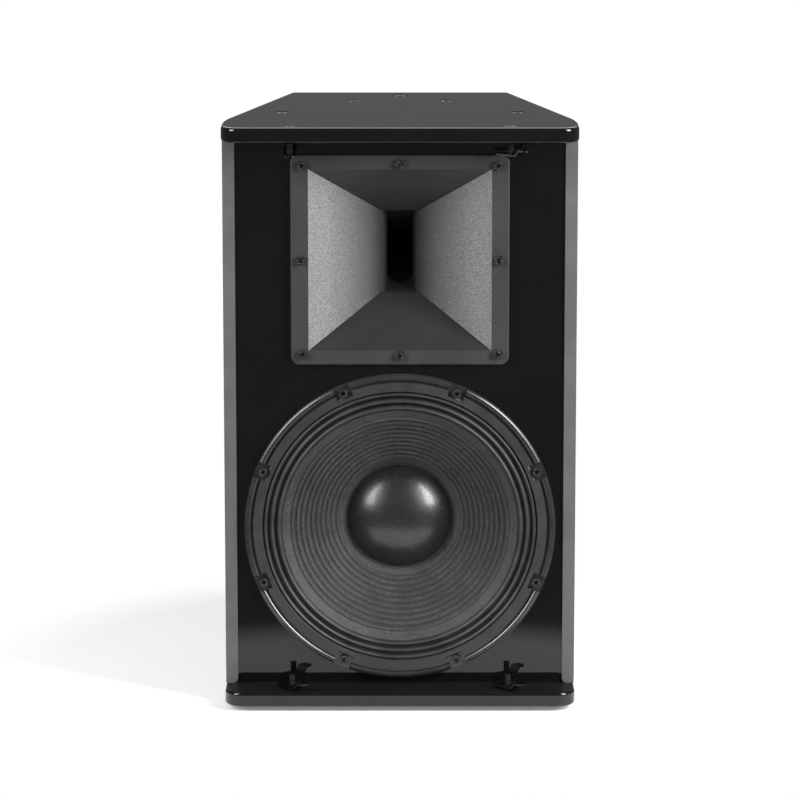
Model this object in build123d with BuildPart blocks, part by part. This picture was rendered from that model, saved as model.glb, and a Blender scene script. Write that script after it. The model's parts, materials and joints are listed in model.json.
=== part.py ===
from build123d import *
from math import asin, cos, pi, radians, sin, sqrt
import os

os.makedirs("parts", exist_ok=True)

# Two-way loudspeaker cabinet. Millimetres, +Z up, the front faces -Y. The origin is on the floor,
# midway between the sides and midway between the front and back edges.

# ---- Cabinet shell ----
FOOT_H = 5.0
CAB_H = 588.0
FRONT_W = 354.0
BACK_W = 228.0
DEPTH = 300.0
PANEL_T = 15.0
SIDE_T = 12.0
BAFFLE_T = 18.0
BACK_T = 15.0
RECESS = 42.0
KNEE = 64.0
KNEE_R = 150.0
CORNER_R = 20.0
EDGE_R = 3.0
BRACE_Z = 341.0
BRACE_T = 12.0
STRIP_W = 12.0
STRIP_T = 2.0

Y_FRONT = -DEPTH / 2
Y_BACK = DEPTH / 2
Y_BAFFLE = Y_FRONT + RECESS
Y_KNEE = Y_FRONT + KNEE
Y_INSIDE = Y_BAFFLE + BAFFLE_T
Y_BACK_IN = Y_BACK - BACK_T
Z_LOW = FOOT_H + PANEL_T
Z_TOP = FOOT_H + CAB_H
Z_HIGH = Z_TOP - PANEL_T
TAPER = (FRONT_W - BACK_W) / 2 / (DEPTH - KNEE)
SIDE_X = SIDE_T * sqrt(1 + TAPER**2)

# ---- Woofer: driver profiles are (radius, depth behind the baffle's face) ----
WOOFER_Z = 183.6
WOOFER_R = 157.0
WOOFER_CUT_R = 142.5
WOOFER_BOLT_R = 149.0
FLANGE_T = 4.5
CONE_R = 119.0
CONE_FACE = -3.1
CONE_SLOPE = 0.77
COIL_R = 38.5
CAP_R = 53.0
CAP_RISE = 25.0
LEDGE = 77.8
STROKE = 7.0

# ---- Horn and its compression driver ----
HORN_Z = 456.0
HORN_W = 218.0
HORN_H = 212.0
FLANGE_H = 6.0
MOUTH = 183.0
THROAT_R = 12.7
HORN_EXIT = 117.0
HORN_CUT = 184.0
HF_COIL_R = 22.4

# ---- Fittings ----
LATCH_X = 109.0
LATCH_Y = Y_FRONT + 16.0
POLE_Y = 0.0
POLE_R = 18.0
POLE_DEPTH = 80.0
RIG_SPOTS = [(-119.0, -23.0), (119.0, -23.0), (-47.5, 76.0), (47.5, 76.0), (0.0, 121.0)]
FOOT_SPOTS = [(-135.0, -110.0), (135.0, -110.0), (-86.0, 118.0), (86.0, 118.0)]
REAR_RIG_Z = 520.0
DISH_Z = 100.0
PORT_X = 51.0
PORT_Z = 235.0
PORT_R = 33.0
PORT_L = 92.0
BOARD_Z = 440.0

DOWN = (Align.CENTER, Align.CENTER, Align.MAX)


def half(y, inset):
    """Half the width between the side faces at depth y, moved in by inset."""
    return FRONT_W / 2 - inset - TAPER * max(0.0, y - Y_KNEE)


def front_plane(y, z=0.0):
    """A plane that faces the listener, with local x to the right and local y up."""
    return Plane(origin=(0, y, z), x_dir=(1, 0, 0), z_dir=(0, -1, 0))


def rear_plane(y, z=0.0):
    """A plane that faces backwards, with local y up."""
    return Plane(origin=(0, y, z), x_dir=(-1, 0, 0), z_dir=(0, 1, 0))


def tapered_face(y_near, y_far, inset):
    """The plan outline between the side faces from y_near to y_far."""
    stations = [y_near] + ([Y_KNEE] if y_near < Y_KNEE < y_far else []) + [y_far]
    right = [(half(y, inset), y) for y in stations]
    left = [(-x, y) for x, y in reversed(right)]
    with BuildLine() as outline:
        Polyline(*right, *left, close=True)
    make_face(outline.edges())


def turned(profile, z, mode=Mode.ADD):
    """A closed profile of (radius, depth behind the baffle's face) turned about a driver's axis at height z."""
    with BuildSketch(Plane(origin=(0, Y_BAFFLE, z))) as section:
        with BuildLine():
            Polyline(*profile, close=True)
        make_face()
    revolve(section.sketch, axis=Axis((0, 0, z), (0, 1, 0)), mode=mode)


def turned_ring(r_in, r_out, near, far, z, mode=Mode.ADD):
    """A plain ring about a driver's axis, between two depths behind the baffle's face."""
    turned([(r_in, near), (r_out, near), (r_out, far), (r_in, far)], z, mode)


def driver_plane(depth, z):
    """A plane that faces the listener, at a depth behind the baffle's face."""
    return front_plane(Y_BAFFLE + depth, z)


def discs(plane, spots, radius, height, mode=Mode.ADD):
    """Round discs or holes of one radius, from a plane along its normal."""
    with BuildSketch(plane) as circles:
        with Locations(*spots):
            Circle(radius)
    extrude(circles.sketch, amount=height, mode=mode)


def key_holes(face, spots, key, depth):
    """Hexagon sockets sunk below the plane face."""
    with BuildSketch(face) as hexagons:
        with Locations(*spots):
            RegularPolygon(key / 2, 6, major_radius=False)
    extrude(hexagons.sketch, amount=-depth, mode=Mode.SUBTRACT)


def cap_screws(seat, spots, r, head_r, head_h, length, key):
    """Round-headed socket screws whose heads stand on the plane seat."""
    discs(seat, spots, head_r, head_h)
    discs(seat, spots, r, -length)
    key_holes(seat.offset(head_h), spots, key, head_h * 0.6)


def flat_screws(face, spots, r, head_r, length, key):
    """Countersunk socket screws whose heads are flush with the plane face."""
    discs(face, spots, r, -length)
    for x, y in spots:
        middle = face.from_local_coords((x, y, 0))
        with Locations(Plane(origin=middle, x_dir=face.x_dir, z_dir=face.z_dir)):
            Cone(r, head_r, head_r - r, align=DOWN)
    key_holes(face, spots, key, (head_r - r) * 0.75)


def polar(radius, count, start):
    """Points evenly spaced round a circle, the first at the angle start."""
    step = 360 / count
    turns = [radians(start + step * n) for n in range(count)]
    return [(radius * cos(a), radius * sin(a)) for a in turns]


def save(part, name):
    part.label = name
    export_step(part, f"parts/{name}.step")


# ---- Top panel ----
def panel_blank(z):
    """The full plan outline, with round front corners, as a slab from z upwards."""
    w, b = FRONT_W / 2, BACK_W / 2
    with BuildSketch(Plane.XY.offset(z)) as plan:
        with BuildLine():
            Polyline(
                (-w, Y_FRONT),
                (w, Y_FRONT),
                (w, Y_KNEE),
                (b, Y_BACK),
                (-b, Y_BACK),
                (-w, Y_KNEE),
                close=True,
            )
        make_face()
        fillet(plan.vertices().sort_by(Axis.Y)[2:4], KNEE_R)
        fillet(plan.vertices().sort_by(Axis.Y)[:2], CORNER_R)
        fillet(plan.vertices().sort_by(Axis.Y)[-2:], 4.0)
    extrude(plan.sketch, amount=PANEL_T)


with BuildPart() as top_panel:
    panel_blank(Z_HIGH)
    rims = top_panel.faces().sort_by(Axis.Z)[0].edges() + top_panel.faces().sort_by(Axis.Z)[-1].edges()
    fillet(rims, EDGE_R)
    with Locations(*[(x, y, Z_TOP) for x, y in RIG_SPOTS]):
        CounterSinkHole(4.2, 7.6, counter_sink_angle=90)
    discs(Plane.XY.offset(Z_HIGH), RIG_SPOTS, 5.45, 10.0, Mode.SUBTRACT)
    with Locations((-LATCH_X, LATCH_Y, Z_TOP), (LATCH_X, LATCH_Y, Z_TOP)):
        CounterSinkHole(4.5, 6.4, counter_sink_angle=90)
save(top_panel.part, "top_panel")

# ---- Bottom panel, with the pole socket's rebate underneath ----
with BuildPart() as bottom_panel:
    panel_blank(FOOT_H)
    rims = bottom_panel.faces().sort_by(Axis.Z)[0].edges() + bottom_panel.faces().sort_by(Axis.Z)[-1].edges()
    fillet(rims, EDGE_R)
    under = Plane(origin=(0, 0, FOOT_H), x_dir=(1, 0, 0), z_dir=(0, 0, -1))
    with Locations(*[Plane(origin=(x, LATCH_Y, FOOT_H), z_dir=(0, 0, -1)) for x in (-LATCH_X, LATCH_X)]):
        CounterSinkHole(4.5, 6.4, counter_sink_angle=90)
    discs(Plane.XY.offset(FOOT_H), FOOT_SPOTS, 2.05, 11.0, Mode.SUBTRACT)
    discs(Plane.XY.offset(FOOT_H), [(0, POLE_Y)], 50.2, 2.0, Mode.SUBTRACT)
    discs(Plane.XY.offset(FOOT_H), [(0, POLE_Y)], 20.7, PANEL_T, Mode.SUBTRACT)
    with BuildSketch(Plane.XY.offset(FOOT_H)):
        with Locations((0, POLE_Y)):
            with PolarLocations(40, 4, 45):
                Circle(2.05)
    extrude(amount=13.0, mode=Mode.SUBTRACT)
save(bottom_panel.part, "bottom_panel")


# ---- Side panels: tapered boards between the two panels ----
def side_board(side):
    """One side board; side is -1 for the left as seen from the front."""
    with BuildSketch(Plane.XY.offset(Z_LOW)) as plan:
        with BuildLine():
            Polyline(
                (side * half(Y_BAFFLE, 0), Y_BAFFLE),
                (side * half(Y_KNEE, 0), Y_KNEE),
                (side * half(Y_BACK, 0), Y_BACK),
                (side * half(Y_BACK, SIDE_X), Y_BACK),
                (side * half(Y_KNEE, SIDE_X), Y_KNEE),
                (side * half(Y_BAFFLE, SIDE_X), Y_BAFFLE),
                close=True,
            )
        make_face()
        knee = [v for v in plan.vertices() if abs(v.Y - Y_KNEE) < 0.1]
        fillet(max(knee, key=lambda v: abs(v.X)), KNEE_R)
    extrude(plan.sketch, amount=Z_HIGH - Z_LOW)


with BuildPart() as side_panel_left:
    side_board(-1)
save(side_panel_left.part, "side_panel_left")

with BuildPart() as side_panel_right:
    side_board(1)
save(side_panel_right.part, "side_panel_right")

# ---- Baffle, with the woofer and horn cut-outs ----
WOOFER_BOLTS = polar(WOOFER_BOLT_R, 8, 22.5)
HORN_CORNERS = [(x * 97.5, z * 95.0) for x in (-1, 1) for z in (-1, 1)]
HORN_MIDDLES = [(-98.8, 0), (98.8, 0), (0, -96.4), (0, 96.4)]
HORN_SCREWS = HORN_CORNERS + HORN_MIDDLES

with BuildPart() as baffle:
    with BuildSketch(Plane.XY.offset(Z_LOW)):
        tapered_face(Y_BAFFLE, Y_INSIDE, SIDE_X)
    extrude(amount=Z_HIGH - Z_LOW)
    discs(front_plane(Y_BAFFLE, WOOFER_Z), [(0, 0)], WOOFER_CUT_R, -BAFFLE_T, Mode.SUBTRACT)
    discs(front_plane(Y_BAFFLE, WOOFER_Z), WOOFER_BOLTS, 3.3, -BAFFLE_T, Mode.SUBTRACT)
    with BuildSketch(front_plane(Y_BAFFLE, HORN_Z)):
        RectangleRounded(HORN_CUT, HORN_CUT, 6)
    extrude(amount=-BAFFLE_T, mode=Mode.SUBTRACT)
    discs(front_plane(Y_BAFFLE, HORN_Z), HORN_SCREWS, 2.05, -14.5, Mode.SUBTRACT)
save(baffle.part, "baffle")

# ---- Back panel, with the connector, port and rear rigging openings ----
PORT_SPOTS = [(-PORT_X, 0), (PORT_X, 0)]
DISH_SCREWS = [(x * 54.0, z * 39.0) for x in (-1, 1) for z in (-1, 1)]
BOARD_POSTS = [(x * 68.0, z * 43.0) for x in (-1, 1) for z in (-1, 1)]

with BuildPart() as back_panel:
    with BuildSketch(Plane.XY.offset(Z_LOW)):
        tapered_face(Y_BACK_IN, Y_BACK, SIDE_X)
    extrude(amount=Z_HIGH - Z_LOW)
    with BuildSketch(rear_plane(Y_BACK, DISH_Z)):
        RectangleRounded(120.4, 90.4, 6.2)
    extrude(amount=-2.0, mode=Mode.SUBTRACT)
    with BuildSketch(rear_plane(Y_BACK, DISH_Z)):
        RectangleRounded(101.0, 71.0, 6)
    extrude(amount=-BACK_T, mode=Mode.SUBTRACT)
    discs(rear_plane(Y_BACK, DISH_Z), DISH_SCREWS, 1.8, -12.5, Mode.SUBTRACT)
    discs(rear_plane(Y_BACK, PORT_Z), PORT_SPOTS, 43.2, -3.0, Mode.SUBTRACT)
    discs(rear_plane(Y_BACK, PORT_Z), PORT_SPOTS, 35.7, -BACK_T, Mode.SUBTRACT)
    discs(rear_plane(Y_BACK, REAR_RIG_Z), [(0, 0)], 11.1, -1.5, Mode.SUBTRACT)
    discs(rear_plane(Y_BACK, REAR_RIG_Z), [(0, 0)], 6.05, -BACK_T, Mode.SUBTRACT)
    discs(front_plane(Y_BACK_IN, BOARD_Z), BOARD_POSTS, 1.55, -8.5, Mode.SUBTRACT)
save(back_panel.part, "back_panel")

# ---- Inner brace: a frame-shaped shelf between the two drivers ----
with BuildPart() as brace:
    with BuildSketch(Plane.XY.offset(BRACE_Z)):
        tapered_face(Y_INSIDE, Y_BACK_IN, SIDE_X)
        with Locations((0, (Y_INSIDE + Y_BACK_IN) / 2)):
            RectangleRounded(150, 170, 30, mode=Mode.SUBTRACT)
    extrude(amount=BRACE_T)
save(brace.part, "brace")


# ---- Self-adhesive foam strips on the side boards' front edges ----
def edge_strip(side):
    """One strip; its inner corners are rounded where it meets the panels."""
    with BuildSketch(front_plane(Y_BAFFLE, (Z_LOW + Z_HIGH) / 2)) as strip:
        with Locations((side * (FRONT_W / 2 - 0.2 - STRIP_W / 2), 0)):
            Rectangle(STRIP_W, Z_HIGH - Z_LOW)
        inner = [v for v in strip.vertices() if abs(v.X) < FRONT_W / 2 - STRIP_W / 2]
        fillet(inner, 5.0)
    extrude(strip.sketch, amount=STRIP_T)


with BuildPart() as foam_strip_left:
    edge_strip(-1)
save(foam_strip_left.part, "foam_strip_left")

with BuildPart() as foam_strip_right:
    edge_strip(1)
save(foam_strip_right.part, "foam_strip_right")

# ---- Polyester lining on the inside of the side boards ----
LINING_T = 15.0

with BuildPart() as wadding:
    for z0, z1 in ((32.0, 331.0), (363.0, 568.0)):
        for side in (-1, 1):
            with BuildSketch(Plane.XY.offset(z0)):
                with BuildLine():
                    Polyline(
                        (side * half(-40, SIDE_X + 0.1), -40),
                        (side * half(118, SIDE_X + 0.1), 118),
                        (side * half(118, SIDE_X + LINING_T), 118),
                        (side * half(-40, SIDE_X + LINING_T), -40),
                        close=True,
                    )
                make_face()
            extrude(amount=z1 - z0)
save(wadding.part, "wadding")

# ---- Top rigging points: M8 tee nuts inside, flat blanking screws outside ----
with BuildPart() as rigging_tee_nuts:
    discs(Plane.XY.offset(Z_HIGH), RIG_SPOTS, 5.4, 9.5)
    discs(Plane.XY.offset(Z_HIGH), RIG_SPOTS, 11.0, -1.5)
    discs(Plane.XY.offset(Z_HIGH - 1.5), RIG_SPOTS, 4.0, 11.0, Mode.SUBTRACT)
save(rigging_tee_nuts.part, "rigging_tee_nuts")

with BuildPart() as rigging_screws:
    flat_screws(Plane.XY.offset(Z_TOP - 0.7), RIG_SPOTS, 3.95, 6.8, 20.0, 5.0)
save(rigging_screws.part, "rigging_screws")

with BuildPart() as rear_rigging_insert:
    discs(rear_plane(Y_BACK - 1.5, REAR_RIG_Z), [(0, 0)], 11.0, 1.5)
    discs(rear_plane(Y_BACK, REAR_RIG_Z), [(0, 0)], 6.0, -BACK_T - 3.0)
    discs(rear_plane(Y_BACK, REAR_RIG_Z), [(0, 0)], 3.4, -BACK_T - 3.0, Mode.SUBTRACT)
    with Locations(Plane(origin=(0, Y_BACK, REAR_RIG_Z), z_dir=(0, 1, 0))):
        Cone(3.4, 4.2, 0.8, align=DOWN, mode=Mode.SUBTRACT)
save(rear_rigging_insert.part, "rear_rigging_insert")

# ---- Grille latches: a countersunk screw that turns in a bush and carries a cranked plate ----
PLATE_W = 12.0
PLATE_T = 1.6
CRANK = 5.0
LATCHES = {
    "top_left": (-1, 1, 90.0, 12.5),
    "top_right": (1, 1, -35.0, 12.5),
    "bottom_left": (-1, -1, -44.0, 2.5),
    "bottom_right": (1, -1, -42.0, 2.5),
}


def latch_frame(side, end):
    """The plane of a latch's outer panel face: local z points out of the cabinet."""
    z = Z_TOP if end > 0 else FOOT_H
    return Plane(origin=(side * LATCH_X, LATCH_Y, z), x_dir=(1, 0, 0), z_dir=(0, 0, end))


with BuildPart() as latch_bushes:
    for side, end, turn, gap in LATCHES.values():
        face = latch_frame(side, end)
        discs(face.offset(-3.4), [(0, 0)], 4.45, -PANEL_T + 3.4)
        discs(face.offset(-3.4), [(0, 0)], 3.05, -PANEL_T + 3.4, Mode.SUBTRACT)
save(latch_bushes.part, "latch_bushes")

for place, (side, end, turn, gap) in LATCHES.items():
    with BuildPart() as latch_screw:
        flat_screws(latch_frame(side, end).offset(-0.1), [(0, 0)], 3.0, 5.9, 30.0, 4.0)
    save(latch_screw.part, f"latch_screw_{place}")

    # The plate lies level, gap from the panel's inner face; its long end is cranked upwards.
    under = Z_HIGH - gap - PLATE_T if end > 0 else Z_LOW + gap
    deck = Plane(origin=(side * LATCH_X, LATCH_Y, under), z_dir=(0, 0, 1)).rotated((0, 0, turn))
    with BuildPart() as latch_plate:
        with BuildSketch(Plane(origin=deck.origin, x_dir=deck.x_dir, z_dir=-deck.y_dir)):
            with BuildLine():
                Polyline(
                    (-17.0, 0),
                    (9.8, 0),
                    (14.0, CRANK),
                    (22.0, CRANK),
                    (22.0, CRANK + PLATE_T),
                    (13.2, CRANK + PLATE_T),
                    (9.0, PLATE_T),
                    (-17.0, PLATE_T),
                    close=True,
                )
            make_face()
        extrude(amount=PLATE_W / 2, both=True)
        uprights = latch_plate.edges().filter_by(Axis.Z)
        fillet([e for e in uprights if abs((e.center() - deck.origin).length) > 14.0], 4.5)
        discs(deck, [(0, 0)], 3.05, PLATE_T, Mode.SUBTRACT)
    save(latch_plate.part, f"latch_plate_{place}")

# ---- Rubber feet and their screws ----
with BuildPart() as feet:
    discs(Plane.XY, FOOT_SPOTS, 14.0, FOOT_H)
    chamfer(feet.faces().sort_by(Axis.Z)[:4].edges(), 1.0)
    discs(Plane.XY, FOOT_SPOTS, 5.5, 3.0, Mode.SUBTRACT)
    discs(Plane.XY, FOOT_SPOTS, 2.3, FOOT_H, Mode.SUBTRACT)
save(feet.part, "feet")

# ---- Pole socket: a steel cup for a 35 mm stand pole ----
SOCKET_SCREWS = [(x, y + POLE_Y) for x, y in polar(40.0, 4, 45)]

with BuildPart() as pole_socket:
    discs(Plane.XY.offset(FOOT_H), [(0, POLE_Y)], 50.0, 2.0)
    discs(Plane.XY.offset(FOOT_H), [(0, POLE_Y)], 20.55, 2.0, Mode.SUBTRACT)
    discs(Plane.XY.offset(FOOT_H), [(0, POLE_Y)], 20.5, POLE_DEPTH + 2.0)
    discs(Plane.XY.offset(FOOT_H), [(0, POLE_Y)], POLE_R, POLE_DEPTH, Mode.SUBTRACT)
    discs(Plane.XY.offset(FOOT_H), SOCKET_SCREWS, 2.2, 2.0, Mode.SUBTRACT)
    for x, y in SOCKET_SCREWS:
        with Locations(Plane(origin=(x, y, FOOT_H), z_dir=(0, 0, -1))):
            Cone(2.2, 4.2, 2.0, align=DOWN, mode=Mode.SUBTRACT)
save(pole_socket.part, "pole_socket")

# ---- Screws under the cabinet: round-headed in the feet, countersunk in the socket ----
with BuildPart() as bottom_screws:
    in_feet = Plane(origin=(0, 0, 3.0), x_dir=(1, 0, 0), z_dir=(0, 0, -1))
    cap_screws(in_feet, [(x, -y) for x, y in FOOT_SPOTS], 2.0, 4.0, 2.0, 12.5, 2.5)
    in_socket = Plane(origin=(0, 0, FOOT_H + 0.1), x_dir=(1, 0, 0), z_dir=(0, 0, -1))
    flat_screws(in_socket, [(x, -y) for x, y in SOCKET_SCREWS], 2.0, 3.9, 12.5, 2.5)
save(bottom_screws.part, "bottom_screws")

# ---- Woofer frame: flange with a round raised rim and eight bolt pads ----
with BuildPart() as woofer_frame:
    swell = [radians(t) for t in (180, 157.5, 135, 112.5, 90, 67.5, 45, 22.5)]
    rim = [(153.5 + 3.1 * cos(t), -FLANGE_T - 3.6 * sin(t)) for t in swell]
    turned([(139.5, 0.0), (139.5, -FLANGE_T)] + rim + [(WOOFER_R, -FLANGE_T - 1.2), (WOOFER_R, 0.0)], WOOFER_Z)
    with BuildSketch(driver_plane(-FLANGE_T, WOOFER_Z)):
        with PolarLocations(153, 8, 22.5):
            Rectangle(16, 17)
    extrude(amount=4.0, mode=Mode.SUBTRACT)
    discs(driver_plane(-FLANGE_T, WOOFER_Z), WOOFER_BOLTS, 2.9, -6.0, Mode.SUBTRACT)
save(woofer_frame.part, "woofer_frame")

# ---- Basket: eight straight spokes from the flange back to a stepped cup ----
with BuildPart() as woofer_spokes:
    for turn in range(8):
        a = radians(22.5 + 45.0 * turn)
        spoke = Plane(origin=(0, Y_BAFFLE, WOOFER_Z), x_dir=(cos(a), 0, sin(a)), z_dir=(-sin(a), 0, cos(a)))
        with BuildSketch(spoke):
            with BuildLine():
                Polyline((139.8, 0.0), (141.8, 0.0), (141.8, 6.0), (87.5, 77.0), (84.0, 77.0), close=True)
            make_face()
        extrude(amount=7.0, both=True)
save(woofer_spokes.part, "woofer_spokes")

with BuildPart() as woofer_cup:
    turned([(83.5, 77.0), (88.0, 77.0), (88.0, 97.0), (46.0, 97.0), (46.0, 93.0), (83.0, 93.0),
            (83.0, 81.8), (73.0, 81.8), (73.0, LEDGE), (83.5, LEDGE)], WOOFER_Z)
save(woofer_cup.part, "woofer_cup")

# ---- Flat trim ring over the surround's foot, notched for the bolt pads ----
SURROUND_T = 0.7
FOOT_FACE = -FLANGE_T - SURROUND_T

with BuildPart() as woofer_trim_ring:
    turned_ring(139.3, 148.2, FOOT_FACE - 1.8, FOOT_FACE, WOOFER_Z)
    with BuildSketch(driver_plane(0.0, WOOFER_Z)):
        with PolarLocations(151, 8, 22.5):
            Rectangle(16.5, 17)
    extrude(amount=9.0, mode=Mode.SUBTRACT)
save(woofer_trim_ring.part, "woofer_trim_ring")

# ---- Surround: a flat foot and two and a half even waves down to the cone's edge ----
WAVE_CREST = 136.0
WAVE_PITCH = 7.0
WAVE_RISE = 1.5
WAVE_LEVEL = -4.4


def wave(r):
    """Depth of the surround's face at radius r."""
    return WAVE_LEVEL - WAVE_RISE * cos((r - WAVE_CREST) / WAVE_PITCH * 2 * pi)


with BuildPart() as woofer_surround:
    stations = [138.2 - n * (138.2 - CONE_R) / 22 for n in range(23)]
    with BuildSketch(Plane(origin=(0, Y_BAFFLE, WOOFER_Z))) as section:
        with BuildLine():
            Polyline((138.2, wave(138.2)), (139.0, FOOT_FACE), (144.0, FOOT_FACE))
            Line((144.0, FOOT_FACE), (144.0, -FLANGE_T))
            Polyline((144.0, -FLANGE_T), (139.0, -FLANGE_T), (138.2, wave(138.2) + SURROUND_T))
            Spline(*[(r, wave(r) + SURROUND_T) for r in stations])
            Line((stations[-1], wave(stations[-1]) + SURROUND_T), (stations[-1], wave(stations[-1])))
            Spline(*[(r, wave(r)) for r in reversed(stations)])
        make_face()
    revolve(section.sketch, axis=Axis((0, 0, WOOFER_Z), (0, 1, 0)))
save(woofer_surround.part, "woofer_surround")


# ---- Cone: plain edge, ten pressed ribs, plain neck ----
def cone_y(r):
    return CONE_FACE + (CONE_R - r) * CONE_SLOPE


RIB_COUNT = 10
RIB_OUT = 111.5
RIB_IN = 61.0
RIB_RISE = 1.0
PAPER_T = 1.0

with BuildPart() as woofer_cone:
    pitch = (RIB_OUT - RIB_IN) / RIB_COUNT
    face = [(CONE_R, cone_y(CONE_R))]
    for n in range(RIB_COUNT):
        r = RIB_OUT - n * pitch
        face += [(r, cone_y(r)), (r - pitch / 2, cone_y(r - pitch / 2) - RIB_RISE)]
    face += [(RIB_IN, cone_y(RIB_IN)), (COIL_R, cone_y(COIL_R))]
    back = [(r, y + PAPER_T) for r, y in reversed(face)]
    turned(face + back, WOOFER_Z)
save(woofer_cone.part, "woofer_cone")

# ---- Domed dust cap ----
def dome(r, rise, y, steps=10):
    """Points along a dome from its rim at radius r to its crown on the axis, rise in front of y."""
    sphere = (rise**2 + r**2) / (2 * rise)
    widest = asin(r / sphere)
    turns = [widest * (1 - n / steps) for n in range(steps + 1)]
    return [(sphere * sin(a), y - rise + sphere * (1 - cos(a))) for a in turns]


with BuildPart() as woofer_dust_cap:
    skin = dome(CAP_R, CAP_RISE, cone_y(CAP_R) - 1.0)
    turned(skin + [(r, y + 0.9) for r, y in reversed(skin)], WOOFER_Z)
save(woofer_dust_cap.part, "woofer_dust_cap")

# ---- Voice coil: former glued to the cone's neck, winding in the magnetic gap ----
with BuildPart() as woofer_voice_coil:
    turned_ring(COIL_R - 0.5, COIL_R, cone_y(COIL_R) - 2.0, 115.0, WOOFER_Z)
    turned_ring(COIL_R, COIL_R + 0.8, 94.0, 108.0, WOOFER_Z)
save(woofer_voice_coil.part, "woofer_voice_coil")

# ---- Spider: a corrugated disc from the cup's ledge to the coil former ----
SPIDER_T = 0.6
SPIDER_WAVES = 5


def spider_edge(offset):
    """The corrugations from the ledge inwards, moved back by offset."""
    pitch = (72.5 - COIL_R - 1.5) / (2 * SPIDER_WAVES)
    y = LEDGE - SPIDER_T + offset
    for n in range(2 * SPIDER_WAVES):
        r = 72.5 - n * pitch
        rise = pitch / 2 * 0.8 * (1 if n % 2 else -1)
        ThreePointArc((r, y), (r - pitch / 2, y + rise), (r - pitch, y))


with BuildPart() as woofer_spider:
    near, far = LEDGE - SPIDER_T, LEDGE
    with BuildSketch(Plane(origin=(0, Y_BAFFLE, WOOFER_Z))) as section:
        with BuildLine():
            Line((82.0, near), (72.5, near))
            spider_edge(0.0)
            Line((COIL_R + 1.5, near), (COIL_R, near))
            Line((COIL_R, near), (COIL_R, far))
            Line((COIL_R, far), (COIL_R + 1.5, far))
            spider_edge(SPIDER_T)
            Line((72.5, far), (82.0, far))
            Line((82.0, far), (82.0, near))
        make_face()
    revolve(section.sketch, axis=Axis((0, 0, WOOFER_Z), (0, 1, 0)))
save(woofer_spider.part, "woofer_spider")

# ---- Woofer magnet system ----
with BuildPart() as woofer_top_plate:
    turned_ring(COIL_R + 1.5, 78.0, 97.0, 105.0, WOOFER_Z)
save(woofer_top_plate.part, "woofer_top_plate")

with BuildPart() as woofer_magnet:
    turned_ring(46.0, 85.0, 105.0, 125.0, WOOFER_Z)
    chamfer(woofer_magnet.edges().filter_by(GeomType.CIRCLE), 1.0)
save(woofer_magnet.part, "woofer_magnet")

with BuildPart() as woofer_yoke:
    turned([(12.0, 97.0), (COIL_R - 1.3, 97.0), (COIL_R - 1.3, 125.0), (80.0, 125.0), (80.0, 131.0),
            (76.0, 133.0), (12.0, 133.0)], WOOFER_Z)
save(woofer_yoke.part, "woofer_yoke")

# ---- Woofer bolts and their tee nuts behind the baffle ----
with BuildPart() as woofer_bolts:
    cap_screws(driver_plane(-FLANGE_T, WOOFER_Z), WOOFER_BOLTS, 2.5, 4.5, 4.2, 28.0, 4.0)
save(woofer_bolts.part, "woofer_bolts")

with BuildPart() as woofer_tee_nuts:
    discs(front_plane(Y_INSIDE, WOOFER_Z), WOOFER_BOLTS, 8.0, -1.2)
    discs(front_plane(Y_INSIDE, WOOFER_Z), WOOFER_BOLTS, 3.25, 9.0)
    discs(front_plane(Y_INSIDE - 9.0, WOOFER_Z), WOOFER_BOLTS, 2.55, -10.2, Mode.SUBTRACT)
save(woofer_tee_nuts.part, "woofer_tee_nuts")

# ---- Woofer terminal block on the cup ----
with BuildPart() as woofer_terminals:
    with Locations((0, Y_BAFFLE + 87.0, WOOFER_Z + 89.0)):
        Box(26.0, 12.0, 6.0)
    for x in (-7.0, 7.0):
        with Locations((x, Y_BAFFLE + 87.0, WOOFER_Z + 96.0)):
            Box(4.8, 0.8, 10.0)
    turned_ring(0.0, 88.0, 75.0, 100.0, WOOFER_Z, Mode.SUBTRACT)
save(woofer_terminals.part, "woofer_terminals")


# ---- Horn: flange, side walls that curve into a tall slot, round driver throat ----
def flare(near, far, mode=Mode.ADD):
    """A straight-sided duct between two rounded rectangles, each given as depth, width, height, radius."""
    ends = []
    for depth, w, h, r in (near, far):
        with BuildSketch(driver_plane(depth, HORN_Z)) as section:
            RectangleRounded(w, h, r)
        ends.append(section.sketch)
    loft(ends, mode=mode)


HF_BOLTS = polar(38.0, 3, 90.0)
SLOT_D = 66.0
SLOT_W = 26.0
SLOT_H = 76.0

# The mouth's hollow is where the plan of its side walls meets the profile of its upper and lower walls.
with BuildPart() as mouth_plan:
    with BuildSketch(Plane(origin=(0, Y_BAFFLE, HORN_Z))) as plan:
        with BuildLine():
            Line((-MOUTH / 2, -FLANGE_H), (MOUTH / 2, -FLANGE_H))
            Line((MOUTH / 2, -FLANGE_H), (24.0, 48.6))
            Spline((24.0, 48.6), (SLOT_W / 2, SLOT_D), tangents=[(-67.5, 54.6), (0, 1)])
            Line((SLOT_W / 2, SLOT_D), (-SLOT_W / 2, SLOT_D))
            Spline((-SLOT_W / 2, SLOT_D), (-24.0, 48.6), tangents=[(0, -1), (-67.5, -54.6)])
            Line((-24.0, 48.6), (-MOUTH / 2, -FLANGE_H))
        make_face()
    extrude(plan.sketch, amount=MOUTH, both=True)

with BuildPart() as mouth:
    with BuildSketch(Plane(origin=(0, Y_BAFFLE, HORN_Z), x_dir=(0, 1, 0), z_dir=(1, 0, 0))) as profile:
        with BuildLine():
            Polyline(
                (-FLANGE_H, MOUTH / 2),
                (52.0, 42.0),
                (SLOT_D, SLOT_H / 2),
                (SLOT_D, -SLOT_H / 2),
                (52.0, -42.0),
                (-FLANGE_H, -MOUTH / 2),
                close=True,
            )
        make_face()
    extrude(profile.sketch, amount=MOUTH, both=True)
    add(mouth_plan.part, mode=Mode.INTERSECT)

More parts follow.
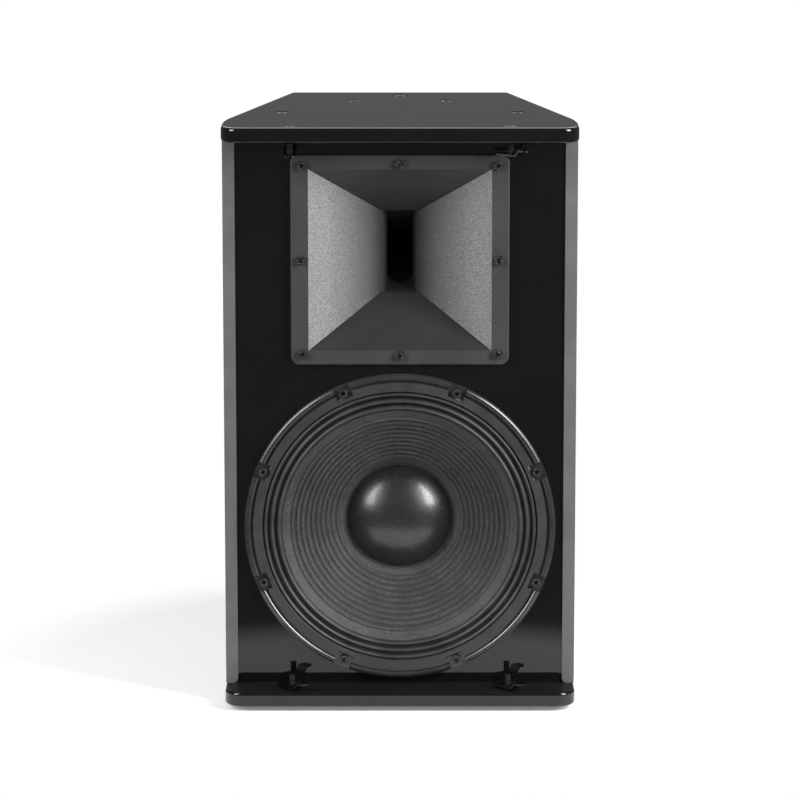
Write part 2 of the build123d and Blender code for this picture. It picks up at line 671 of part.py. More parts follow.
with BuildPart() as horn:
    with BuildSketch(driver_plane(0.0, HORN_Z)):
        RectangleRounded(HORN_W, HORN_H, 9.0)
    extrude(amount=FLANGE_H)
    chamfer(horn.faces().sort_by(Axis.Y)[0].edges(), 1.2)
    flare((0.0, 180.0, 180.0, 5.0), (56.0, 50.0, 94.0, 5.0))
    flare((56.0, 50.0, 94.0, 5.0), (HORN_EXIT, 36.0, 36.0, 17.9))
    discs(driver_plane(HORN_EXIT - 8.0, HORN_Z), [(0, 0)], 46.0, -8.0)
    add(mouth.part, mode=Mode.SUBTRACT)
    flare((SLOT_D, SLOT_W, SLOT_H, 0.5), (HORN_EXIT, 2 * THROAT_R, 2 * THROAT_R, THROAT_R - 0.1), Mode.SUBTRACT)
    discs(driver_plane(-FLANGE_H, HORN_Z), HORN_SCREWS, 2.4, -6.0, Mode.SUBTRACT)
    discs(driver_plane(HORN_EXIT - 8.0, HORN_Z), HF_BOLTS, 3.2, -8.0, Mode.SUBTRACT)
save(horn.part, "horn")

with BuildPart() as horn_screws:
    cap_screws(driver_plane(-FLANGE_H, HORN_Z), HORN_SCREWS, 2.0, 4.9, 3.0, 20.0, 4.0)
save(horn_screws.part, "horn_screws")

# ---- Compression driver, from its throat plate backwards ----
HF0 = HORN_EXIT
HF1 = HF0 + 10.0
HF2 = HF1 + 16.0
HF3 = HF2 + 8.0

with BuildPart() as hf_front_plate:
    turned_ring(THROAT_R, 58.0, HF0, HF1, HORN_Z)
    discs(driver_plane(HF0, HORN_Z), HF_BOLTS, 3.05, -8.5, Mode.SUBTRACT)
save(hf_front_plate.part, "hf_front_plate")

with BuildPart() as hf_bolts:
    cap_screws(driver_plane(HF0 - 8.0, HORN_Z), HF_BOLTS, 3.0, 5.0, 5.0, 16.0, 5.0)
save(hf_bolts.part, "hf_bolts")

with BuildPart() as hf_magnet:
    turned_ring(30.0, 58.0, HF1, HF2, HORN_Z)
    chamfer(hf_magnet.edges().filter_by(GeomType.CIRCLE), 0.8)
save(hf_magnet.part, "hf_magnet")

with BuildPart() as hf_pole_piece:
    turned([(THROAT_R, HF1), (26.0, HF1), (26.0, HF2 - 3), (HF_COIL_R - 0.7, HF2), (HF_COIL_R - 0.7, HF3),
            (17.0, HF3), (13.5, HF2)], HORN_Z)
save(hf_pole_piece.part, "hf_pole_piece")

with BuildPart() as hf_rear_plate:
    turned_ring(HF_COIL_R + 1.0, 54.0, HF2, HF3, HORN_Z)
save(hf_rear_plate.part, "hf_rear_plate")

with BuildPart() as hf_phase_plug:
    turned([(0.0, HF1 + 1.0), (9.5, HF2 + 1.0), (14.0, HF3), (0.0, HF3)], HORN_Z)
    for angle in (0, 120, 240):
        a = radians(angle)
        fin = Plane(origin=(0, Y_BAFFLE + HF2 + 4.0, HORN_Z), x_dir=(cos(a), 0, sin(a)), z_dir=(0, -1, 0))
        with BuildSketch(fin):
            with Locations((11.0, 0)):
                Rectangle(5.8, 1.2)
        extrude(amount=3.0)
save(hf_phase_plug.part, "hf_phase_plug")

with BuildPart() as hf_diaphragm:
    edge = HF3 + 1.6
    skin = dome(HF_COIL_R - 0.2, -7.0, edge + 0.3)
    turned(skin + [(r, y - 0.3) for r, y in reversed(skin)], HORN_Z)
    turned_ring(HF_COIL_R - 0.2, HF_COIL_R + 0.2, edge - 7.0, edge + 0.3, HORN_Z)
save(hf_diaphragm.part, "hf_diaphragm")

with BuildPart() as hf_surround:
    edge = HF3 + 1.6
    turned_ring(HF_COIL_R + 0.2, 30.0, edge - 0.1, edge + 0.2, HORN_Z)
    turned_ring(28.0, 33.0, HF3, edge - 0.1, HORN_Z)
save(hf_surround.part, "hf_surround")

with BuildPart() as hf_cover:
    outside = [(36.0, HF3), (46.0, HF3), (46.0, HF3 + 14.0), (42.0, HF3 + 18.0), (0.0, HF3 + 18.0)]
    inside = [(0.0, HF3 + 15.0), (40.0, HF3 + 15.0), (43.0, HF3 + 12.0), (43.0, HF3 + 3.0), (36.0, HF3 + 3.0)]
    turned(outside + inside, HORN_Z)
save(hf_cover.part, "hf_cover")

# ---- Rear connector dish with two locking speaker sockets ----
DISH_FLOOR = Y_BACK - 22.0
SOCKET_X = 22.0
SOCKETS = [(-SOCKET_X, 0), (SOCKET_X, 0)]

with BuildPart() as terminal_plate:
    with BuildSketch(rear_plane(Y_BACK, DISH_Z)):
        RectangleRounded(120.0, 90.0, 6)
    extrude(amount=-2.0)
    with BuildSketch(rear_plane(Y_BACK, DISH_Z)):
        RectangleRounded(100.0, 70.0, 5.5)
    extrude(amount=-24.0)
    with BuildSketch(rear_plane(Y_BACK, DISH_Z)):
        RectangleRounded(96.0, 66.0, 4)
    extrude(amount=-22.0, mode=Mode.SUBTRACT)
    discs(rear_plane(Y_BACK, DISH_Z), DISH_SCREWS, 2.0, -2.0, Mode.SUBTRACT)
    for x, z in DISH_SCREWS:
        with Locations(Plane(origin=(x, Y_BACK, DISH_Z + z), z_dir=(0, 1, 0))):
            Cone(2.0, 3.9, 1.9, align=DOWN, mode=Mode.SUBTRACT)
    discs(rear_plane(DISH_FLOOR, DISH_Z), SOCKETS, 12.1, -3.0, Mode.SUBTRACT)
save(terminal_plate.part, "terminal_plate")

with BuildPart() as terminal_screws:
    flat_screws(rear_plane(Y_BACK - 0.1, DISH_Z), DISH_SCREWS, 1.75, 3.6, 12.0, 2.5)
save(terminal_screws.part, "terminal_screws")

with BuildPart() as speaker_sockets:
    with BuildSketch(rear_plane(DISH_FLOOR, DISH_Z)):
        with Locations(*SOCKETS):
            RectangleRounded(26.0, 31.0, 3)
    extrude(amount=3.0)
    discs(rear_plane(DISH_FLOOR, DISH_Z), SOCKETS, 12.0, -24.0)
    discs(rear_plane(DISH_FLOOR + 3.0, DISH_Z), SOCKETS, 10.2, -22.0, Mode.SUBTRACT)
save(speaker_sockets.part, "speaker_sockets")

# ---- Rear reflex ports: flared tubes flush with the back ----
with BuildPart() as port_tubes:
    discs(rear_plane(Y_BACK - 3.0, PORT_Z), PORT_SPOTS, 43.0, 3.0)
    discs(rear_plane(Y_BACK, PORT_Z), PORT_SPOTS, 35.5, -PORT_L)
    discs(rear_plane(Y_BACK, PORT_Z), PORT_SPOTS, PORT_R, -PORT_L, Mode.SUBTRACT)
    mouths = port_tubes.faces().sort_by(Axis.Y)[-2:]
    fillet(mouths.edges().filter_by(lambda e: abs(e.radius - PORT_R) < 0.1), 5.0)
save(port_tubes.part, "port_tubes")

# ---- Crossover on the inside of the back panel ----
BOARD_Y = Y_BACK_IN - 12.0

with BuildPart() as crossover_board:
    with BuildSketch(front_plane(BOARD_Y, BOARD_Z)):
        RectangleRounded(150.0, 100.0, 4)
    extrude(amount=2.0)
    discs(front_plane(BOARD_Y, BOARD_Z), BOARD_POSTS, 1.7, 2.0, Mode.SUBTRACT)
save(crossover_board.part, "crossover_board")

with BuildPart() as crossover_posts:
    discs(front_plane(Y_BACK_IN, BOARD_Z), BOARD_POSTS, 4.0, 12.0)
    discs(front_plane(Y_BACK_IN, BOARD_Z), BOARD_POSTS, 1.65, 12.0, Mode.SUBTRACT)
save(crossover_posts.part, "crossover_posts")

with BuildPart() as crossover_screws:
    cap_screws(front_plane(BOARD_Y - 2.0, BOARD_Z), BOARD_POSTS, 1.5, 3.0, 2.0, 22.0, 2.0)
save(crossover_screws.part, "crossover_screws")

COILS = [(-38.0, 18.0, 23.0), (40.0, -20.0, 18.0)]

with BuildPart() as crossover_inductors:
    for x, z, r in COILS:
        spool = front_plane(BOARD_Y - 2.0, BOARD_Z)
        discs(spool, [(x, z)], r, 1.5)
        discs(spool.offset(1.5), [(x, z)], r - 1.5, 15.0)
        discs(spool.offset(16.5), [(x, z)], r, 1.5)
        discs(spool, [(x, z)], 8.0, 18.0, Mode.SUBTRACT)
save(crossover_inductors.part, "crossover_inductors")

CANS = [(22.0, 24.0, 9.0, 34.0), (-8.0, -34.0, 8.0, 30.0), (-50.0, -24.0, 7.0, 26.0)]

with BuildPart() as crossover_capacitors:
    for x, z, r, length in CANS:
        can = Plane(origin=(x - length / 2, BOARD_Y - 2.0 - r, BOARD_Z + z), x_dir=(0, 1, 0), z_dir=(1, 0, 0))
        discs(can, [(0, 0)], r, length)
save(crossover_capacitors.part, "crossover_capacitors")
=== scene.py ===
import json
import math

import bpy
import numpy as np
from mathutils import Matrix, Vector


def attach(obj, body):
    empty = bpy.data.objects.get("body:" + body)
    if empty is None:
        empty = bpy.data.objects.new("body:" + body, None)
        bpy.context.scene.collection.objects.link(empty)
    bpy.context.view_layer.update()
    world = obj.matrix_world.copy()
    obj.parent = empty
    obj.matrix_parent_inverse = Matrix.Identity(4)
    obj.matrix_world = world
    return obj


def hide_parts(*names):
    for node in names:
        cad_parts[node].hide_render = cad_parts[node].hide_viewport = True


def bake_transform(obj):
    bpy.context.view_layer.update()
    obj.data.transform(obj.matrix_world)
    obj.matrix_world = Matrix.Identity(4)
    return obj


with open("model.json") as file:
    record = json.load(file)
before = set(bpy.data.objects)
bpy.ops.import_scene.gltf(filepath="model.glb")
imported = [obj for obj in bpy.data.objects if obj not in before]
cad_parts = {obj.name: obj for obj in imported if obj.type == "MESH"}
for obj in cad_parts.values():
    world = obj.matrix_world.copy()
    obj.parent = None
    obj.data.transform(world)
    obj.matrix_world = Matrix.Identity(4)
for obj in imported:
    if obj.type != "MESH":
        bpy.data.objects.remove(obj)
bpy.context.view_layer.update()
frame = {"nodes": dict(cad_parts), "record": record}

MM = 0.001
WOOFER_Z = 183.6
BAFFLE = -108.0
HALF_WIDTH, KNEE_Y, TAPER = 177.0, -86.0, 0.26695
CONE_R = 119.0
RIB_OUT, RIB_IN, RIBS = 111.5, 61.0, 10
RIB_PITCH = (RIB_OUT - RIB_IN) / RIBS
WAVE_CREST, WAVE_PITCH = 136.0, 7.0
CABINET = "cabinet"
CONE_BODY = "cone_assembly"
NODES = frame["nodes"]

# ---------------------------------------------------------------- material tools


class Graph:
    """A material under construction: a Principled shader and the nodes that drive it."""

    def __init__(self, name, rough=0.5, metallic=0.0, **uniform):
        self.material = bpy.data.materials.new(name)
        self.material.use_nodes = True
        self.tree = self.material.node_tree
        self.shader = self.tree.nodes["Principled BSDF"]
        self.shader.inputs["Roughness"].default_value = rough
        self.shader.inputs["Metallic"].default_value = metallic
        for key, value in uniform.items():
            self.shader.inputs[key.replace("_", " ")].default_value = value
        self.place = self.tree.nodes.new("ShaderNodeTexCoord").outputs["Object"]
        self.bump_from = None

    def node(self, kind, **settings):
        made = self.tree.nodes.new("ShaderNode" + kind)
        for key, value in settings.items():
            setattr(made, key, value)
        return made

    def link(self, source, target):
        self.tree.links.new(source, target)

    def feed(self, made, **inputs):
        for key, value in inputs.items():
            socket = made.inputs[key.replace("_", " ")]
            if isinstance(value, bpy.types.NodeSocket):
                self.link(value, socket)
            else:
                socket.default_value = value
        return made

    def stretched(self, scale):
        """Object coordinates scaled by a different amount along each axis."""
        made = self.node("Mapping")
        return self.feed(made, Vector=self.place, Scale=scale).outputs[0]

    def noise(self, scale, detail=3.0, rough=0.5, where=None):
        made = self.node("TexNoise")
        self.feed(made, Vector=where or self.place, Scale=scale, Detail=detail, Roughness=rough)
        return made.outputs["Fac"]

    def cells(self, scale, where=None, feature="F1"):
        made = self.node("TexVoronoi", feature=feature)
        return self.feed(made, Vector=where or self.place, Scale=scale).outputs["Distance"]

    def ranged(self, value, low, high, to_low=0.0, to_high=1.0):
        made = self.node("MapRange", clamp=True)
        made.inputs["Value"].default_value = 0.5
        self.link(value, made.inputs["Value"])
        for key, number in (("From Min", low), ("From Max", high), ("To Min", to_low), ("To Max", to_high)):
            made.inputs[key].default_value = number
        return made.outputs["Result"]

    def math(self, operation, a, b=0.0):
        made = self.node("Math", operation=operation)
        for socket, value in zip(made.inputs, (a, b)):
            if isinstance(value, bpy.types.NodeSocket):
                self.link(value, socket)
            else:
                socket.default_value = value
        return made.outputs[0]

    def mix(self, factor, a, b):
        made = self.node("Mix", data_type="RGBA")
        for socket, value in zip((made.inputs[0], made.inputs[6], made.inputs[7]), (factor, a, b)):
            if isinstance(value, bpy.types.NodeSocket):
                self.link(value, socket)
            else:
                socket.default_value = (*value, 1.0) if isinstance(value, tuple) else value
        return made.outputs[2]

    def color(self, factor, a, b):
        made = self.mix(factor, a, b)
        self.link(made, self.shader.inputs["Base Color"])
        return made

    def roughness(self, value, low, high, to_low, to_high):
        self.link(self.ranged(value, low, high, to_low, to_high), self.shader.inputs["Roughness"])

    def bump(self, height, distance, strength=1.0):
        made = self.node("Bump")
        self.feed(made, Height=height, Distance=distance, Strength=strength)
        if self.bump_from is not None:
            self.link(self.bump_from, made.inputs["Normal"])
        self.bump_from = made.outputs[0]
        self.link(self.bump_from, self.shader.inputs["Normal"])


def plain_detail(name, dark, light, grain, rough, bump_mm, metallic=0.0, spread=14.0, **uniform):
    """A moulded, painted or metal surface: broad tone changes, fine grain and uneven gloss."""
    g = Graph(name, sum(rough) / 2, metallic, **uniform)
    broad = g.noise(spread, 4.0, 0.6)
    fine = g.noise(grain, 3.0, 0.6)
    g.color(g.ranged(g.math("ADD", broad, g.math("MULTIPLY", fine, 0.4)), 0.45, 1.0), dark, light)
    g.roughness(broad, 0.3, 0.7, *rough)
    g.bump(fine, bump_mm * MM)
    return g.material


def lacquer():
    """Polished black lacquer: a hair of orange peel, faint clouds, and a duller ledge inside the front."""
    g = Graph("gloss_lacquer", 0.07, Coat_Weight=0.1, Coat_Roughness=0.03, Specular_IOR_Level=0.42)
    broad = g.noise(9.0, 4.0, 0.55)
    g.color(g.ranged(broad, 0.3, 0.7), (0.0026, 0.0026, 0.0030), (0.0044, 0.0044, 0.0050))
    marks = g.noise(60.0, 6.0, 0.7, g.stretched((1.0, 1.0, 9.0)))
    polish = g.ranged(marks, 0.35, 0.75, 0.045, 0.085)
    facing = g.node("SeparateXYZ")
    g.link(g.node("NewGeometry").outputs["True Normal"], facing.inputs[0])
    place = g.node("SeparateXYZ")
    g.link(g.place, place.inputs[0])
    level = g.ranged(facing.outputs["Z"], 0.8, 0.95)
    low = g.ranged(place.outputs["Z"], 0.04, 0.03)
    worn = g.math("MULTIPLY", level, low)
    g.link(g.math("ADD", polish, g.math("MULTIPLY", worn, 0.4)), g.shader.inputs["Roughness"])
    g.bump(g.noise(105.0, 1.0, 0.4), 0.012 * MM, 0.6)
    return g.material


def horn_plastic():
    """Dark moulding: satin flange; smooth upper and lower walls, with painted shade darkening the walls that
    face upward; side walls painted lighter with bright flecks as a painted sheen and painted glints, and
    painted shade darkening them towards the slot.
    """
    g = Graph("horn_plastic", 0.4)
    facing = g.node("SeparateXYZ")
    g.link(g.node("NewGeometry").outputs["True Normal"], facing.inputs[0])
    place = g.node("SeparateXYZ")
    g.link(g.place, place.inputs[0])
    off_centre = g.math("ABSOLUTE", place.outputs["X"])
    sideways = g.ranged(g.math("ABSOLUTE", facing.outputs["X"]), 0.42, 0.55)
    side = g.math("MULTIPLY", sideways, g.ranged(off_centre, 0.094, 0.096, 1.0, 0.0))
    coarse = g.cells(900.0)
    sand = g.noise(1500.0, 5.0, 0.75)
    broad = g.noise(22.0, 4.0, 0.6)
    flat = g.mix(g.ranged(broad, 0.3, 0.7), (0.034, 0.034, 0.035), (0.046, 0.046, 0.047))
    # Painted shade: walls that face upward are darkened towards near black.
    flat = g.mix(g.ranged(facing.outputs["Z"], 0.2, 0.4, 0.0, 0.5), flat, (0.004, 0.004, 0.004))
    # Painted sheen and painted glints: the side walls get a much lighter base colour than the flange, with
    # bright flecks.
    painted_glint_flecks = g.ranged(g.math("ADD", coarse, g.math("MULTIPLY", sand, 0.8)), 0.5, 1.05)
    painted_sheen_wall = g.mix(painted_glint_flecks, (0.055, 0.055, 0.055), (0.27, 0.27, 0.27))
    # Painted shade: the side walls darken towards the slot.
    painted_shade_near_slot = g.ranged(off_centre, 0.075, 0.020, 0.0, 0.97)
    painted_sheen_wall = g.mix(painted_shade_near_slot, painted_sheen_wall, (0.006, 0.006, 0.006))
    g.link(g.mix(side, flat, painted_sheen_wall), g.shader.inputs["Base Color"])
    rough = g.math("ADD", g.ranged(side, 0, 1, 0.40, 0.46), g.ranged(sand, 0.3, 0.7, -0.05, 0.05))
    g.link(rough, g.shader.inputs["Roughness"])
    grit = g.math("MULTIPLY", g.math("ADD", coarse, sand), side)
    g.bump(g.math("ADD", grit, g.math("MULTIPLY", sand, 0.12)), 0.4 * MM, 0.9)
    return g.material


def black_screws(name, specular):
    """Black oxide on steel: oily, with small worn facets that catch the light."""
    g = Graph(name, 0.35, Coat_Weight=0.3 * specular, Coat_Roughness=0.1, Specular_IOR_Level=specular)
    facets = g.cells(620.0)
    oil = g.noise(400.0, 4.0, 0.6)
    g.color(g.ranged(oil, 0.35, 0.7), (0.003, 0.003, 0.003), (0.02, 0.02, 0.021))
    g.roughness(oil, 0.3, 0.7, 0.2, 0.46)
    g.bump(facets, 0.9 * MM, 0.8)
    return g.material


def foam():
    """Grey closed-cell foam tape."""
    g = Graph("grey_foam", 0.9, Sheen_Weight=0.15)
    cells = g.cells(2600.0)
    broad = g.noise(30.0, 4.0, 0.6)
    g.color(g.ranged(broad, 0.3, 0.7), (0.075, 0.076, 0.077), (0.10, 0.101, 0.102))
    g.roughness(cells, 0.0, 0.9, 0.75, 0.98)
    g.bump(cells, 0.15 * MM, 0.7)
    return g.material


def ring_place(g, z):
    """Where a point lies about a driver's axis: its radius, and its offsets sideways and up."""
    split = g.node("SeparateXYZ")
    g.link(g.place, split.inputs[0])
    aside = split.outputs["X"]
    up = g.math("SUBTRACT", split.outputs["Z"], z * MM)
    radius = g.math("SQRT", g.math("ADD", g.math("MULTIPLY", aside, aside), g.math("MULTIPLY", up, up)))
    return radius, aside, up


def on_crests(g, radius, crest, pitch, low, high):
    """1 on the crests of ring-shaped waves, 0 in their valleys, one half outside radii low to high."""
    turns = g.math("MULTIPLY", g.math("SUBTRACT", radius, crest * MM), 2 * math.pi / (pitch * MM))
    past_low = g.ranged(radius, low * MM, (low + 0.4) * MM)
    past_high = g.ranged(radius, high * MM, (high - 0.4) * MM)
    inside = g.math("MULTIPLY", past_low, past_high)
    return g.math("ADD", g.math("MULTIPLY", g.math("MULTIPLY", g.math("COSINE", turns), 0.5), inside), 0.5)


def cone_paper():
    """Pressed paper pulp: matted fibres, mottled tone, polished crests and painted shade in the grooves."""
    g = Graph("cone_paper", 0.5, Sheen_Weight=0.1)
    pulp = g.noise(260.0, 6.0, 0.75)
    fibres = g.cells(420.0, g.stretched((1.0, 2.2, 0.55)))
    threads = g.noise(900.0, 4.0, 0.7, g.stretched((0.4, 1.0, 2.0)))
    mottle = g.noise(38.0, 5.0, 0.65)
    tone = g.math("ADD", g.math("MULTIPLY", pulp, 0.5), g.math("MULTIPLY", mottle, 0.6))
    crest = on_crests(g, ring_place(g, WOOFER_Z)[0], RIB_OUT - RIB_PITCH / 2, RIB_PITCH, RIB_IN, RIB_OUT)
    paper = g.mix(g.ranged(tone, 0.35, 0.8), (0.012, 0.012, 0.012), (0.056, 0.056, 0.057))
    # Painted shade: the grooves between the ribs are darkened to near black.
    g.color(g.ranged(crest, 0.0, 0.6), (0.001, 0.001, 0.001), paper)
    g.roughness(g.math("SUBTRACT", pulp, g.math("MULTIPLY", crest, 0.25)), 0.1, 0.55, 0.2, 0.5)
    matted = g.math("ADD", pulp, g.math("MULTIPLY", fibres, 0.6))
    g.bump(g.math("ADD", matted, g.math("MULTIPLY", threads, 0.5)), 0.8 * MM, 0.9)
    return g.material


# Threads of the ring's weave: radians per metre across it, and per radian round it.
WEAVE_ACROSS, WEAVE_AROUND = 6200.0, 900.0


def doped_cloth(name, z, dark, light, rough):
    """Woven cloth stiffened with glossy dope: a fine weave round and across the ring, and painted shade in
    the valleys of the surround's waves.
    """
    g = Graph(name, sum(rough) / 2)
    radius, aside, up = ring_place(g, z)
    angle = g.math("ARCTAN2", up, aside)
    across = g.math("SINE", g.math("MULTIPLY", radius, WEAVE_ACROSS))
    around = g.math("SINE", g.math("MULTIPLY", angle, WEAVE_AROUND))
    weave = g.math("MULTIPLY", across, around)
    blotch = g.noise(45.0, 4.0, 0.6)
    crest = on_crests(g, radius, WAVE_CREST, WAVE_PITCH, CONE_R, 138.5)
    cloth = g.mix(g.ranged(blotch, 0.3, 0.7), dark, light)
    # Painted shade: the valleys between the surround's waves are darkened to near black.
    g.color(g.ranged(crest, 0.0, 0.6), (0.002, 0.002, 0.002), cloth)
    g.roughness(blotch, 0.3, 0.7, *rough)
    g.bump(g.math("ADD", weave, g.math("MULTIPLY", g.noise(500.0), 1.5)), 0.045 * MM, 0.6)
    return g.material


def cap_skin():
    """Coated paper dome: leathery fine grain with a soft gloss."""
    g = Graph("cap_skin", 0.3, Coat_Weight=0.35, Coat_Roughness=0.18)
    grain = g.noise(700.0, 5.0, 0.7)
    broad = g.noise(50.0, 4.0, 0.6)
    g.color(g.ranged(broad, 0.3, 0.7), (0.012, 0.012, 0.013), (0.022, 0.022, 0.023))
    g.roughness(grain, 0.3, 0.7, 0.22, 0.36)
    g.bump(g.math("ADD", grain, g.math("MULTIPLY", g.cells(800.0), 0.5)), 0.22 * MM, 0.7)
    return g.material


def plywood():
    g = Graph("plain_board", 0.7)
    grain = g.noise(40.0, 6.0, 0.6, g.stretched((1.0, 12.0, 12.0)))
    g.color(g.ranged(grain, 0.3, 0.7), (0.28, 0.18, 0.09), (0.46, 0.33, 0.19))
    g.roughness(grain, 0.3, 0.7, 0.6, 0.8)
    g.bump(grain, 0.2 * MM, 0.5)
    return g.material


def fibre_lining():
    g = Graph("lining", 0.95, Sheen_Weight=0.4)
    tuft = g.noise(180.0, 6.0, 0.8)
    strand = g.noise(600.0, 4.0, 0.7, g.stretched((1.0, 0.3, 1.6)))
    g.color(g.ranged(tuft, 0.3, 0.7), (0.52, 0.52, 0.50), (0.82, 0.82, 0.79))
    g.roughness(strand, 0.3, 0.7, 0.9, 1.0)
    g.bump(g.math("ADD", tuft, strand), 1.2 * MM, 0.8)
    return g.material


def wound_wire():
    g = Graph("copper", 0.3, 1.0)
    turns = g.node("TexWave", wave_type="BANDS", bands_direction="Y")
    g.feed(turns, Vector=g.place, Scale=160.0, Distortion=0.4)
    g.color(turns.outputs["Fac"], (0.30, 0.10, 0.03), (0.72, 0.30, 0.12))
    g.roughness(turns.outputs["Fac"], 0.0, 1.0, 0.45, 0.25)
    g.bump(turns.outputs["Fac"], 0.5 * MM, 0.8)
    return g.material


def grey(v, blue=1.03):
    return (v, v, v * blue)


# Per slot: dark tone, light tone, fine grain per metre, roughness from and to, bump in mm, metallic,
# broad tone spots per metre.
PLAIN_FINISHES = {
    "zinc_steel": ((0.38, 0.38, 0.35), (0.6, 0.6, 0.57), 900.0, (0.28, 0.42), 0.05, 1.0, 90.0),
    "latch_steel": (grey(0.02), grey(0.05), 1200.0, (0.3, 0.45), 0.05, 1.0, 120.0),
    "bush_nylon": (grey(0.02), grey(0.04), 900.0, (0.4, 0.55), 0.05),
    "rubber": (grey(0.012), grey(0.026), 1500.0, (0.6, 0.8), 0.12, 0.0, 60.0),
    "socket_steel": (grey(0.014), grey(0.022), 1100.0, (0.45, 0.58), 0.14, 0.0, 60.0),
    "trim_rubber": (grey(0.018), grey(0.03), 1300.0, (0.45, 0.6), 0.1, 0.0, 50.0),
    "coil": ((0.5, 0.28, 0.14), (0.72, 0.45, 0.25), 1500.0, (0.3, 0.45), 0.1, 0.8),
    "motor_steel": (grey(0.10), grey(0.2), 700.0, (0.3, 0.45), 0.06, 0.9, 50.0),
    "ferrite": (grey(0.04), grey(0.07), 800.0, (0.6, 0.8), 0.2),
    "dark_plastic": (grey(0.016), grey(0.028), 1200.0, (0.36, 0.5), 0.08, 0.0, 60.0),
    "titanium": (grey(0.4), grey(0.6), 900.0, (0.25, 0.4), 0.04, 1.0),
    "plate_steel": (grey(0.014), grey(0.022), 1100.0, (0.42, 0.56), 0.14, 0.0, 60.0),
    "port_plastic": (grey(0.014), grey(0.024), 1000.0, (0.45, 0.6), 0.12, 0.0, 60.0),
    "circuit_board": ((0.015, 0.09, 0.03), (0.03, 0.16, 0.06), 900.0, (0.35, 0.5), 0.04),
    "nylon_white": (grey(0.6), grey(0.75), 700.0, (0.4, 0.5), 0.03),
    "film_yellow": ((0.55, 0.38, 0.03), (0.75, 0.56, 0.08), 900.0, (0.3, 0.45), 0.04),
}

SLOTS = {name: plain_detail(name, *finish) for name, finish in PLAIN_FINISHES.items()}
SLOTS |= {
    "gloss_lacquer": lacquer(),
    "plain_board": plywood(),
    "grey_foam": foam(),
    "lining": fibre_lining(),
    "black_steel": black_screws("black_steel", 0.6),
    "frame_metal": plain_detail(
        "frame_metal",
        grey(0.016),
        grey(0.026),
        900.0,
        (0.24, 0.34),
        0.05,
        0.0,
        40.0,
        Coat_Weight=0.25,
        Coat_Roughness=0.15,
    ),
    "coated_cloth": doped_cloth("coated_cloth", WOOFER_Z, grey(0.022), grey(0.042), (0.3, 0.44)),
    "cone_paper": cone_paper(),
    "cap_cloth": cap_skin(),
    "horn_plastic": horn_plastic(),
    "copper": wound_wire(),
}
SLOTS["side_lacquer"] = SLOTS["gloss_lacquer"]


def paint(obj, slot):
    obj.data.materials.clear()
    obj.data.materials.append(SLOTS[slot])


LATCH_SCREW_BLACK = black_screws("latch_screw_black", 0.12)

for part in frame["record"]["subparts"]:
    finish = SLOTS[part["material_slot"]]
    if part["node"].startswith("latch_screw_"):
        finish = LATCH_SCREW_BLACK
    for place in NODES[part["node"]].material_slots:
        place.link = "OBJECT"
        place.material = finish

# ---------------------------------------------------------------- turned pieces


def lathe(name, profile, z, slot, steps=320):
    """A closed profile of (radius, depth) points in millimetres, turned about a driver's axis at height z."""
    turns = np.linspace(0, 2 * math.pi, steps, endpoint=False)
    points = np.array(profile, float) * MM
    count = len(points)
    co = np.empty((steps, count, 3))
    co[:, :, 0] = np.outer(np.cos(turns), points[:, 0])
    co[:, :, 1] = points[None, :, 1]
    co[:, :, 2] = z * MM + np.outer(np.sin(turns), points[:, 0])
    faces = []
    for s in range(steps):
        a, b = s * count, (s + 1) % steps * count
        for p in range(count):
            q = (p + 1) % count
            faces.append((a + p, b + p, b + q, a + q))
    mesh = bpy.data.meshes.new(name)
    mesh.from_pydata(co.reshape(-1, 3).tolist(), [], faces)
    mesh.validate()
    mesh.polygons.foreach_set("use_smooth", [True] * len(mesh.polygons))
    obj = bpy.data.objects.new(name, mesh)
    bpy.context.scene.collection.objects.link(obj)
    paint(obj, slot)
    return obj


def thick(face, depth):
    """A closed profile: the face line, then the same line moved back by depth."""
    return list(face) + [(r, y + depth) for r, y in reversed(face)]


def sweep(low, high, step):
    return np.linspace(low, high, max(2, int(abs(high - low) / step) + 1))


# Cone: plain edge, ten pressed ribs, plain neck.
CONE_FACE, CONE_SLOPE = BAFFLE - 3.1, 0.77
CAP_R, CAP_RISE = 53.0, 25.0
COIL_R = 38.5


def cone_y(r):
    return CONE_FACE + (CONE_R - r) * CONE_SLOPE


def rib(r):
    """How far the pressed ribs stand in front of the plain cone at radius r."""
    if not RIB_IN < r < RIB_OUT:
        return 0.0
    swell = 0.5 - 0.5 * math.cos((RIB_OUT - r) / RIB_PITCH * 2 * math.pi)
    return 1.8 * swell**1.3


face = [(r, cone_y(r) - rib(r)) for r in sweep(CONE_R, COIL_R, 0.33)]
cone = lathe("cone_paper_shell", thick(face, 1.0), WOOFER_Z, "cone_paper")
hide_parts("woofer_cone")
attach(cone, CONE_BODY)

# Dust cap: a dome on a narrow glued foot.
SPHERE = (CAP_RISE**2 + CAP_R**2) / (2 * CAP_RISE)
CAP_EDGE = math.asin(CAP_R / SPHERE)
CAP_Y = cone_y(CAP_R) - 1.0
dome = [
    (SPHERE * math.sin(a), CAP_Y - CAP_RISE + SPHERE * (1 - math.cos(a)))
    for a in np.linspace(CAP_EDGE, 0.002, 60)
]
cap = lathe("dust_cap_dome", thick(dome, 0.9), WOOFER_Z, "cap_cloth")
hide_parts("woofer_dust_cap")
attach(cap, CONE_BODY)

GLUE_R = CAP_R + 0.7
bead = [
    (GLUE_R + 1.1 * math.cos(a), cone_y(GLUE_R) - 0.35 + 0.8 * math.sin(a))
    for a in np.linspace(0, 2 * math.pi, 14, endpoint=False)
]
glue = lathe("dust_cap_glue", bead, WOOFER_Z, "cap_cloth")
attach(glue, CONE_BODY)


def radial_blend(obj):
    """Bakes the ring's placement into its mesh."""
    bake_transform(obj)


